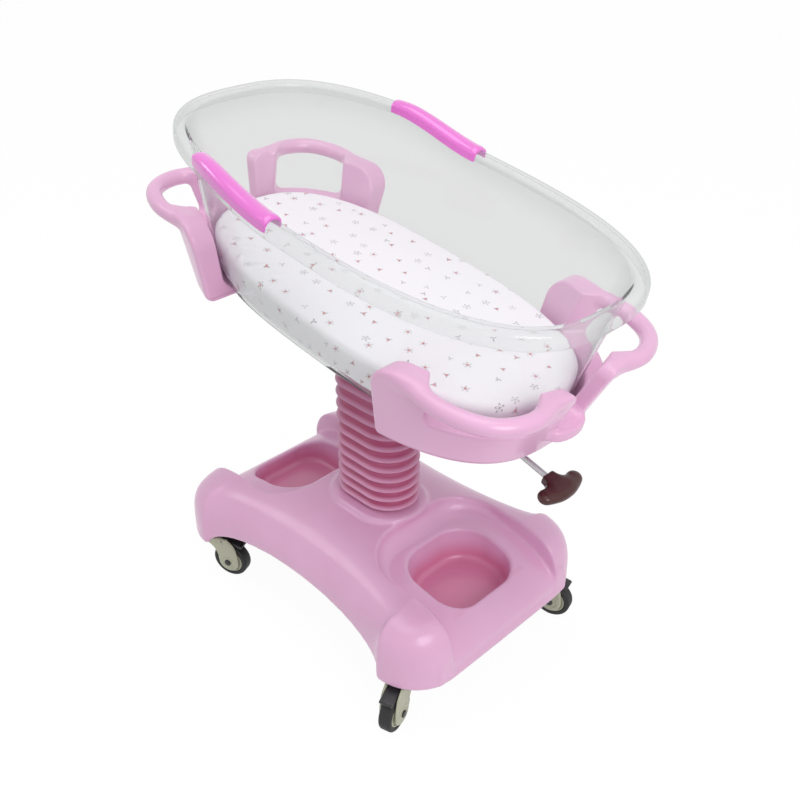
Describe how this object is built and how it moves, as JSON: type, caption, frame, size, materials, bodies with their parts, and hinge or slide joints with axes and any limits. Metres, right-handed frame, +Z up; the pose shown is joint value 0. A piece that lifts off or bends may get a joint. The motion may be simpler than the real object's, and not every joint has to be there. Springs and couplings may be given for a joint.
{
  "type": "hospital bassinet",
  "caption": "Reclining hospital bassinet: clear tub with mattress in moulded end cradles with bow handles, on a height-adjustable bellows column and a moulded base with braked casters.",
  "frame": {"origin": "on the floor, below the middle of the whole bassinet's box", "axes": "+Z up, +X along the tub to its low foot end, where the release lever is, +Y to the far long side"},
  "size_m": [0.8624, 0.5116, 0.9391],
  "materials": {
    "pink_plastic": "satin moulded ABS",
    "pink_rubber": "satin",
    "clear_acrylic": "clear, polished",
    "magenta_plastic": "glossy",
    "cotton_sheet": "woven, printed",
    "mattress_foam": "foam",
    "steel": "zinc plated",
    "dark_steel": "powder coated",
    "dark_red_plastic": "glossy",
    "black_plastic": "matt",
    "caster_grey": "satin",
    "tyre_rubber": "matt"
  },
  "bodies": {
    "base": {"base_cover": "pink_plastic", "chassis": "dark_steel", "guide_tube": "steel", "gas_cylinder": "dark_steel", "bellows": "pink_rubber", "bellows_ring": "black_plastic", "stem_head_near": "black_plastic", "stem_head_far": "black_plastic", "stem_foot_near": "black_plastic", "stem_foot_far": "black_plastic"},
    "lift": {"slider_tube": "steel", "gas_rod": "steel", "lift_head": "dark_steel", "tilt_pin": "steel"},
    "tilt": {"tilt_frame": "dark_steel", "cradle_foot": "pink_plastic", "cradle_head": "pink_plastic", "lever_bracket": "dark_steel", "lever_pin": "steel"},
    "tub": {"tub": "clear_acrylic", "grip_near": "magenta_plastic", "grip_far": "magenta_plastic"},
    "bedding": {"mattress": "mattress_foam", "sheet": "cotton_sheet"},
    "lever": {"lever_rod": "steel", "lever_grip": "dark_red_plastic"},
    "swivel_head_near": {"fork_head_near": "caster_grey", "axle_head_near": "black_plastic"},
    "wheel_head_near": {"tyre_head_near": "tyre_rubber", "hub_head_near": "caster_grey"},
    "pedal_head_near": {"pedal_head_near": "black_plastic"},
    "swivel_head_far": {"fork_head_far": "caster_grey", "axle_head_far": "black_plastic"},
    "wheel_head_far": {"tyre_head_far": "tyre_rubber", "hub_head_far": "caster_grey"},
    "pedal_head_far": {"pedal_head_far": "black_plastic"},
    "swivel_foot_near": {"fork_foot_near": "caster_grey", "axle_foot_near": "black_plastic"},
    "wheel_foot_near": {"tyre_foot_near": "tyre_rubber", "hub_foot_near": "caster_grey"},
    "pedal_foot_near": {"pedal_foot_near": "black_plastic"},
    "swivel_foot_far": {"fork_foot_far": "caster_grey", "axle_foot_far": "black_plastic"},
    "wheel_foot_far": {"tyre_foot_far": "tyre_rubber", "hub_foot_far": "caster_grey"},
    "pedal_foot_far": {"pedal_foot_far": "black_plastic"}
  },
  "joints": [
    {"name": "lift_slide", "type": "slide", "parent": "base", "child": "lift", "axis": [0, 0, 1], "range_m": [-0.1, 0.1], "deforming": ["bellows"]},
    {"name": "tilt_hinge", "type": "hinge", "parent": "lift", "child": "tilt", "pos_m": [-0.03128, 0, 0.57], "axis": [0, 1, 0], "range_deg": [-21, 3]},
    {"name": "tub_lift_out", "type": "slide", "parent": "tilt", "child": "tub", "axis": [0.1564, 0, 0.9877], "range_m": [0, 0.22]},
    {"name": "bedding_lift_out", "type": "slide", "parent": "tub", "child": "bedding", "axis": [0.1564, 0, 0.9877], "range_m": [0, 0.3]},
    {"name": "lever_squeeze", "type": "hinge", "parent": "tilt", "child": "lever", "pos_m": [0.16963, 0, 0.52805], "axis": [0, 1, 0], "range_deg": [-6, 0], "stiffness_Nm_per_rad": 6},
    {"name": "swivel_head_near", "type": "hinge", "parent": "base", "child": "swivel_head_near", "pos_m": [-0.31228, -0.189, 0.09], "axis": [0, 0, 1], "continuous": true},
    {"name": "wheel_head_near", "type": "hinge", "parent": "swivel_head_near", "child": "wheel_head_near", "pos_m": [-0.28447, -0.17776, 0.0375], "axis": [-0.3746, 0.9272, 0], "continuous": true},
    {"name": "brake_head_near", "type": "hinge", "parent": "swivel_head_near", "child": "pedal_head_near", "pos_m": [-0.2956, -0.18226, 0.0877], "axis": [-0.3746, 0.9272, 0], "range_deg": [0, 8]},
    {"name": "swivel_head_far", "type": "hinge", "parent": "base", "child": "swivel_head_far", "pos_m": [-0.31228, 0.189, 0.09], "axis": [0, 0, 1], "continuous": true},
    {"name": "wheel_head_far", "type": "hinge", "parent": "swivel_head_far", "child": "wheel_head_far", "pos_m": [-0.32055, 0.21784, 0.0375], "axis": [-0.9613, -0.2756, 0], "continuous": true},
    {"name": "brake_head_far", "type": "hinge", "parent": "swivel_head_far", "child": "pedal_head_far", "pos_m": [-0.31725, 0.2063, 0.0877], "axis": [-0.9613, -0.2756, 0], "range_deg": [0, 8]},
    {"name": "swivel_foot_near", "type": "hinge", "parent": "base", "child": "swivel_foot_near", "pos_m": [0.22172, -0.189, 0.09], "axis": [0, 0, 1], "continuous": true},
    {"name": "wheel_foot_near", "type": "hinge", "parent": "swivel_foot_near", "child": "wheel_foot_near", "pos_m": [0.22998, -0.21784, 0.0375], "axis": [0.9613, 0.2756, 0], "continuous": true},
    {"name": "brake_foot_near", "type": "hinge", "parent": "swivel_foot_near", "child": "pedal_foot_near", "pos_m": [0.22668, -0.2063, 0.0877], "axis": [0.9613, 0.2756, 0], "range_deg": [0, 8]},
    {"name": "swivel_foot_far", "type": "hinge", "parent": "base", "child": "swivel_foot_far", "pos_m": [0.22172, 0.189, 0.09], "axis": [0, 0, 1], "continuous": true},
    {"name": "wheel_foot_far", "type": "hinge", "parent": "swivel_foot_far", "child": "wheel_foot_far", "pos_m": [0.25069, 0.19676, 0.0375], "axis": [-0.2588, 0.9659, 0], "continuous": true},
    {"name": "brake_foot_far", "type": "hinge", "parent": "swivel_foot_far", "child": "pedal_foot_far", "pos_m": [0.2391, 0.19366, 0.0877], "axis": [-0.2588, 0.9659, 0], "range_deg": [0, 8]}
  ]
}
